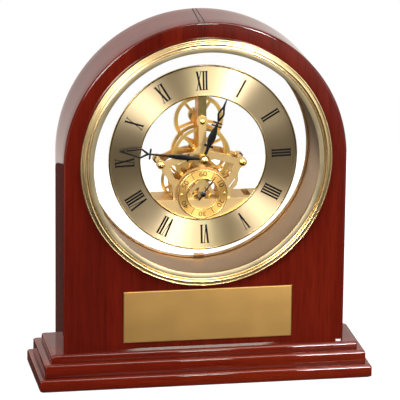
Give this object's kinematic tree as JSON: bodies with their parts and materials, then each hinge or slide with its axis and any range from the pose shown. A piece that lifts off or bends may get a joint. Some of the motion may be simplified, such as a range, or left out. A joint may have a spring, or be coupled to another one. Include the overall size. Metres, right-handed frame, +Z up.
{
  "type": "mantel clock",
  "caption": "Mantel clock with a glossy round-topped wooden case on a moulded base, a blank brass plate and a see-through gear movement behind a chapter ring and black hands.",
  "frame": {"origin": "on the floor, under the middle of the base", "axes": "+X to the right of someone who reads the dial, +Y from the dial to the back, +Z up"},
  "size_m": [0.2, 0.061, 0.2185],
  "materials": {
    "case_lacquer": "high-gloss lacquer over red-brown rosewood veneer",
    "base_lacquer": "high-gloss lacquer over red-brown rosewood",
    "bare_wood": "planed bare wood",
    "felt": "dark green felt",
    "zinc_screw": "zinc-plated steel",
    "plate_brass": "satin lacquered brass, fine horizontal brushing",
    "bezel_brass": "polished lacquered brass with a satin inner bevel",
    "drum_brass": "satin brass",
    "dial_brass": "circular-brushed satin brass, polished rims, printed black numerals",
    "frame_brass": "satin brass",
    "box_brass": "satin brass",
    "polished_brass": "polished brass",
    "wheel_brass": "satin brass with cut teeth",
    "seconds_brass": "circular-brushed yellow brass, printed black numerals",
    "screw_brass": "polished brass screw heads",
    "knob_brass": "satin brass with fluted rim",
    "glass": "clear flat mineral glass",
    "gasket_rubber": "matt black rubber",
    "battery_sleeve": "plain green shrink sleeve",
    "contact_steel": "nickel-plated spring steel",
    "board_green": "green circuit board",
    "coil_copper": "enamelled copper wire",
    "rotor_dark": "dark magnet with a pinion",
    "hand_black": "gloss black enamel"
  },
  "bodies": {
    "case": {"felt_sheet": "felt", "base_lower": "base_lacquer", "base_middle": "base_lacquer", "base_upper": "base_lacquer", "base_screws": "zinc_screw", "corner_blocks": "bare_wood", "case_front": "case_lacquer", "case_band": "case_lacquer", "case_back": "case_lacquer", "name_plate": "plate_brass", "bezel": "bezel_brass", "front_glass": "glass", "glass_gasket": "gasket_rubber", "drum": "drum_brass", "rear_glass": "glass", "rear_ring": "bezel_brass", "rear_ring_screws": "screw_brass", "chapter_ring": "dial_brass", "top_bracket": "frame_brass", "front_plate": "frame_brass", "rear_plate": "frame_brass", "pillars": "polished_brass", "pillar_screws": "screw_brass", "battery_box": "box_brass", "battery": "battery_sleeve", "battery_contacts": "contact_steel", "movement_screws": "zinc_screw", "circuit_board": "board_green", "coil": "coil_copper", "stator": "contact_steel", "motor_bridge": "frame_brass", "seconds_dial": "seconds_brass", "dial_posts": "polished_brass", "dial_screws": "screw_brass"},
    "minute_arbor": {"minute_arbor": "polished_brass", "minute_hand": "hand_black", "hub_cap": "polished_brass"},
    "minute_wheel": {"minute_wheel": "wheel_brass"},
    "hour_wheel": {"hour_wheel": "wheel_brass", "hour_hand": "hand_black"},
    "setting_wheel": {"setting_wheel": "wheel_brass", "setting_knob": "knob_brass"},
    "seconds_wheel": {"seconds_wheel": "wheel_brass", "second_hand": "hand_black"},
    "third_wheel": {"third_wheel": "wheel_brass"},
    "centre_wheel": {"centre_wheel": "wheel_brass"},
    "intermediate_wheel": {"intermediate_wheel": "wheel_brass"},
    "rotor": {"rotor": "rotor_dark"},
    "battery_cover": {"battery_cover": "box_brass"}
  },
  "joints": [
    {"name": "minute_turn", "type": "hinge", "parent": "case", "child": "minute_arbor", "pos_m": [0, -0.0025, 0.1342], "axis": [0, 1, 0], "continuous": true},
    {"name": "minute_wheel_turn", "type": "hinge", "parent": "case", "child": "minute_wheel", "pos_m": [-0.00889, -0.0025, 0.11629], "axis": [0, 1, 0], "continuous": true},
    {"name": "hour_turn", "type": "hinge", "parent": "case", "child": "hour_wheel", "pos_m": [0, -0.0025, 0.1342], "axis": [0, 1, 0], "continuous": true},
    {"name": "setting_turn", "type": "hinge", "parent": "case", "child": "setting_wheel", "pos_m": [0, -0.0025, 0.1533], "axis": [0, 1, 0], "continuous": true},
    {"name": "seconds_turn", "type": "hinge", "parent": "case", "child": "seconds_wheel", "pos_m": [0, -0.0025, 0.112], "axis": [0, 1, 0], "continuous": true},
    {"name": "third_turn", "type": "hinge", "parent": "case", "child": "third_wheel", "pos_m": [0.00892, -0.0025, 0.11808], "axis": [0, 1, 0], "continuous": true},
    {"name": "centre_turn", "type": "hinge", "parent": "case", "child": "centre_wheel", "pos_m": [0, -0.0025, 0.1342], "axis": [0, 1, 0], "continuous": true},
    {"name": "intermediate_turn", "type": "hinge", "parent": "case", "child": "intermediate_wheel", "pos_m": [-0.0071, -0.0025, 0.10941], "axis": [0, 1, 0], "continuous": true},
    {"name": "rotor_turn", "type": "hinge", "parent": "case", "child": "rotor", "pos_m": [-0.0119, -0.0025, 0.1058], "axis": [0, 1, 0], "continuous": true},
    {"name": "cover_slide", "type": "slide", "parent": "case", "child": "battery_cover", "axis": [0, 1, 0], "range_m": [0, 0.02]}
  ],
  "couplings": [
    {"joint": "minute_wheel_turn", "follows": "minute_turn", "ratio": -0.5},
    {"joint": "hour_turn", "follows": "minute_turn", "ratio": 0.083333},
    {"joint": "setting_turn", "follows": "minute_turn", "ratio": -0.28571},
    {"joint": "third_turn", "follows": "seconds_turn", "ratio": -0.2},
    {"joint": "centre_turn", "follows": "seconds_turn", "ratio": 0.016667},
    {"joint": "intermediate_turn", "follows": "seconds_turn", "ratio": -6},
    {"joint": "rotor_turn", "follows": "seconds_turn", "ratio": 30}
  ]
}
